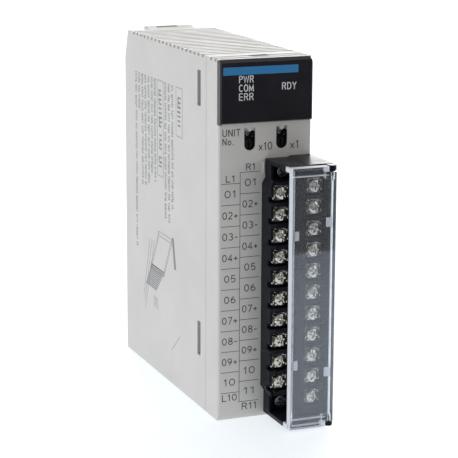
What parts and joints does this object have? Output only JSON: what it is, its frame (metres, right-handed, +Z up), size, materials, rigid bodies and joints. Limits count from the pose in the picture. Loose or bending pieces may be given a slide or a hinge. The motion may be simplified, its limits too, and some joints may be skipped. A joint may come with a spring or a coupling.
{
  "type": "plc module",
  "caption": "Slim backplane-mounted controller module with a stepped screw terminal block, clear hinged cover, dark lamp window and rotary address switches.",
  "frame": {"origin": "middle of the footprint's bounding box, on the plane that the module stands on", "axes": "+Z up along the height, -Y towards the terminal block at the front, +X to the viewer's right when looking at the front"},
  "size_m": [0.035, 0.126, 0.1309],
  "materials": {
    "housing_plastic": "fine spark-eroded texture, warm light grey",
    "window_plastic": "polished smoked black",
    "block_plastic": "moulded glass-filled black, satin",
    "clear_cover": "clear moulded polycarbonate",
    "nickel_screw": "bright nickel plate over steel",
    "contact_metal": "nickel plate over brass",
    "black_screw": "black zinc",
    "circuit_board": "green solder mask",
    "converter_case": "moulded epoxy",
    "connector_plastic": "moulded black",
    "dial_plastic": "moulded black",
    "light_guide": "translucent"
  },
  "bodies": {
    "casing": {"rear_housing": "housing_plastic", "front_bezel": "housing_plastic", "indicator_window": "window_plastic", "backplane_connector": "connector_plastic", "terminal_header": "connector_plastic", "main_circuit_board": "circuit_board", "front_circuit_board": "circuit_board", "dc_converter": "converter_case", "indicator_light_guide": "light_guide", "rotary_switch_body_left": "dial_plastic", "rotary_switch_body_right": "dial_plastic"},
    "left_dial": {"rotary_dial_left": "dial_plastic"},
    "right_dial": {"rotary_dial_right": "dial_plastic"},
    "lock_screw": {"module_lock_screw": "nickel_screw"},
    "terminal_block": {"terminal_block_base": "block_plastic", "terminal_contact_a01": "contact_metal", "terminal_contact_a02": "contact_metal", "terminal_contact_a03": "contact_metal", "terminal_contact_a04": "contact_metal", "terminal_contact_a05": "contact_metal", "terminal_contact_a06": "contact_metal", "terminal_contact_a07": "contact_metal", "terminal_contact_a08": "contact_metal", "terminal_contact_a09": "contact_metal", "terminal_contact_a10": "contact_metal", "terminal_contact_a11": "contact_metal", "terminal_contact_b01": "contact_metal", "terminal_contact_b02": "contact_metal", "terminal_contact_b03": "contact_metal", "terminal_contact_b04": "contact_metal", "terminal_contact_b05": "contact_metal", "terminal_contact_b06": "contact_metal", "terminal_contact_b07": "contact_metal", "terminal_contact_b08": "contact_metal", "terminal_contact_b09": "contact_metal", "terminal_contact_b10": "contact_metal"},
    "cover": {"terminal_cover": "clear_cover"},
    "upper_block_screw": {"block_screw_top": "black_screw"},
    "lower_block_screw": {"block_screw_bottom": "black_screw"},
    "screw_a01": {"terminal_screw_a01": "nickel_screw"},
    "screw_a02": {"terminal_screw_a02": "nickel_screw"},
    "screw_a03": {"terminal_screw_a03": "nickel_screw"},
    "screw_a04": {"terminal_screw_a04": "nickel_screw"},
    "screw_a05": {"terminal_screw_a05": "nickel_screw"},
    "screw_a06": {"terminal_screw_a06": "nickel_screw"},
    "screw_a07": {"terminal_screw_a07": "nickel_screw"},
    "screw_a08": {"terminal_screw_a08": "nickel_screw"},
    "screw_a09": {"terminal_screw_a09": "nickel_screw"},
    "screw_a10": {"terminal_screw_a10": "nickel_screw"},
    "screw_a11": {"terminal_screw_a11": "nickel_screw"},
    "screw_b01": {"terminal_screw_b01": "nickel_screw"},
    "screw_b02": {"terminal_screw_b02": "nickel_screw"},
    "screw_b03": {"terminal_screw_b03": "nickel_screw"},
    "screw_b04": {"terminal_screw_b04": "nickel_screw"},
    "screw_b05": {"terminal_screw_b05": "nickel_screw"},
    "screw_b06": {"terminal_screw_b06": "nickel_screw"},
    "screw_b07": {"terminal_screw_b07": "nickel_screw"},
    "screw_b08": {"terminal_screw_b08": "nickel_screw"},
    "screw_b09": {"terminal_screw_b09": "nickel_screw"},
    "screw_b10": {"terminal_screw_b10": "nickel_screw"}
  },
  "joints": [
    {"name": "left_dial_turn", "type": "hinge", "parent": "casing", "child": "left_dial", "pos_m": [-0.0058, -0.0383, 0.0999], "axis": [0, -1, 0], "continuous": true},
    {"name": "right_dial_turn", "type": "hinge", "parent": "casing", "child": "right_dial", "pos_m": [0.0063, -0.0383, 0.0999], "axis": [0, -1, 0], "continuous": true},
    {"name": "lock_screw_turn", "type": "hinge", "parent": "casing", "child": "lock_screw", "pos_m": [0, 0.0541, 0.0048], "axis": [0, -1, 0], "continuous": true},
    {"name": "block_pull", "type": "slide", "parent": "casing", "child": "terminal_block", "axis": [0, -1, 0], "range_m": [0, 0.012]},
    {"name": "cover_swing", "type": "hinge", "parent": "terminal_block", "child": "cover", "pos_m": [0.0156, -0.0615, 0.0482], "axis": [0, 0, 1], "range_deg": [0, 110]},
    {"name": "upper_block_screw_turn", "type": "hinge", "parent": "terminal_block", "child": "upper_block_screw", "pos_m": [0.0046, -0.0455, 0.0906], "axis": [0, -1, 0], "continuous": true},
    {"name": "lower_block_screw_turn", "type": "hinge", "parent": "terminal_block", "child": "lower_block_screw", "pos_m": [0.0046, -0.0455, 0.0068], "axis": [0, -1, 0], "continuous": true},
    {"name": "screw_a01_turn", "type": "hinge", "parent": "terminal_block", "child": "screw_a01", "pos_m": [0.012, -0.056, 0.08705], "axis": [0, -1, 0], "continuous": true},
    {"name": "screw_a02_turn", "type": "hinge", "parent": "terminal_block", "child": "screw_a02", "pos_m": [0.012, -0.056, 0.07943], "axis": [0, -1, 0], "continuous": true},
    {"name": "screw_a03_turn", "type": "hinge", "parent": "terminal_block", "child": "screw_a03", "pos_m": [0.012, -0.056, 0.07181], "axis": [0, -1, 0], "continuous": true},
    {"name": "screw_a04_turn", "type": "hinge", "parent": "terminal_block", "child": "screw_a04", "pos_m": [0.012, -0.056, 0.06419], "axis": [0, -1, 0], "continuous": true},
    {"name": "screw_a05_turn", "type": "hinge", "parent": "terminal_block", "child": "screw_a05", "pos_m": [0.012, -0.056, 0.05657], "axis": [0, -1, 0], "continuous": true},
    {"name": "screw_a06_turn", "type": "hinge", "parent": "terminal_block", "child": "screw_a06", "pos_m": [0.012, -0.056, 0.04895], "axis": [0, -1, 0], "continuous": true},
    {"name": "screw_a07_turn", "type": "hinge", "parent": "terminal_block", "child": "screw_a07", "pos_m": [0.012, -0.056, 0.04133], "axis": [0, -1, 0], "continuous": true},
    {"name": "screw_a08_turn", "type": "hinge", "parent": "terminal_block", "child": "screw_a08", "pos_m": [0.012, -0.056, 0.03371], "axis": [0, -1, 0], "continuous": true},
    {"name": "screw_a09_turn", "type": "hinge", "parent": "terminal_block", "child": "screw_a09", "pos_m": [0.012, -0.056, 0.02609], "axis": [0, -1, 0], "continuous": true},
    {"name": "screw_a10_turn", "type": "hinge", "parent": "terminal_block", "child": "screw_a10", "pos_m": [0.012, -0.056, 0.01847], "axis": [0, -1, 0], "continuous": true},
    {"name": "screw_a11_turn", "type": "hinge", "parent": "terminal_block", "child": "screw_a11", "pos_m": [0.012, -0.056, 0.01085], "axis": [0, -1, 0], "continuous": true},
    {"name": "screw_b01_turn", "type": "hinge", "parent": "terminal_block", "child": "screw_b01", "pos_m": [0.003, -0.0484, 0.0835], "axis": [0, -1, 0], "continuous": true},
    {"name": "screw_b02_turn", "type": "hinge", "parent": "terminal_block", "child": "screw_b02", "pos_m": [0.003, -0.0484, 0.07588], "axis": [0, -1, 0], "continuous": true},
    {"name": "screw_b03_turn", "type": "hinge", "parent": "terminal_block", "child": "screw_b03", "pos_m": [0.003, -0.0484, 0.06826], "axis": [0, -1, 0], "continuous": true},
    {"name": "screw_b04_turn", "type": "hinge", "parent": "terminal_block", "child": "screw_b04", "pos_m": [0.003, -0.0484, 0.06064], "axis": [0, -1, 0], "continuous": true},
    {"name": "screw_b05_turn", "type": "hinge", "parent": "terminal_block", "child": "screw_b05", "pos_m": [0.003, -0.0484, 0.05302], "axis": [0, -1, 0], "continuous": true},
    {"name": "screw_b06_turn", "type": "hinge", "parent": "terminal_block", "child": "screw_b06", "pos_m": [0.003, -0.0484, 0.0454], "axis": [0, -1, 0], "continuous": true},
    {"name": "screw_b07_turn", "type": "hinge", "parent": "terminal_block", "child": "screw_b07", "pos_m": [0.003, -0.0484, 0.03778], "axis": [0, -1, 0], "continuous": true},
    {"name": "screw_b08_turn", "type": "hinge", "parent": "terminal_block", "child": "screw_b08", "pos_m": [0.003, -0.0484, 0.03016], "axis": [0, -1, 0], "continuous": true},
    {"name": "screw_b09_turn", "type": "hinge", "parent": "terminal_block", "child": "screw_b09", "pos_m": [0.003, -0.0484, 0.02254], "axis": [0, -1, 0], "continuous": true},
    {"name": "screw_b10_turn", "type": "hinge", "parent": "terminal_block", "child": "screw_b10", "pos_m": [0.003, -0.0484, 0.01492], "axis": [0, -1, 0], "continuous": true}
  ]
}
